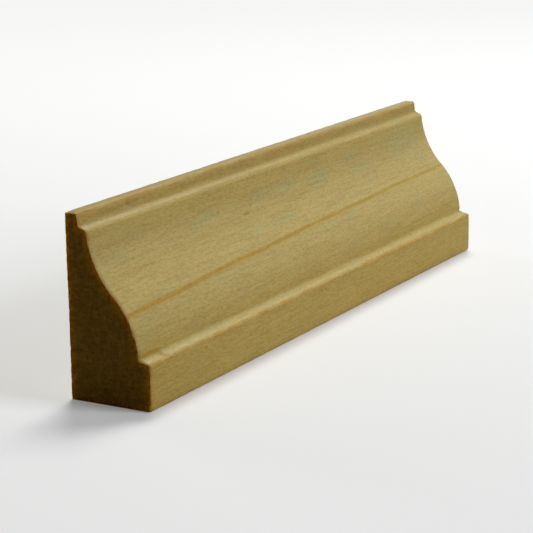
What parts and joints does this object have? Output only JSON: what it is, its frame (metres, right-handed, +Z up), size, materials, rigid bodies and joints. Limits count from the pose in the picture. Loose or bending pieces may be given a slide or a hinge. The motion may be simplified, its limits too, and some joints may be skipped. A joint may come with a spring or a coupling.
{
  "type": "shoe moulding",
  "caption": "Short sawn length of shoe moulding in pale hardwood, with a flat back and a stepped cove-and-bead face.",
  "frame": {"origin": "middle of the underside", "axes": "+X along the length, +Y out of the flat back, -Y out of the moulded face, +Z up"},
  "size_m": [0.0762, 0.0096, 0.0191],
  "materials": {
    "wood": "planed and sanded, unfinished"
  },
  "bodies": {
    "root": {"shoe_moulding": "wood"}
  },
  "joints": []
}
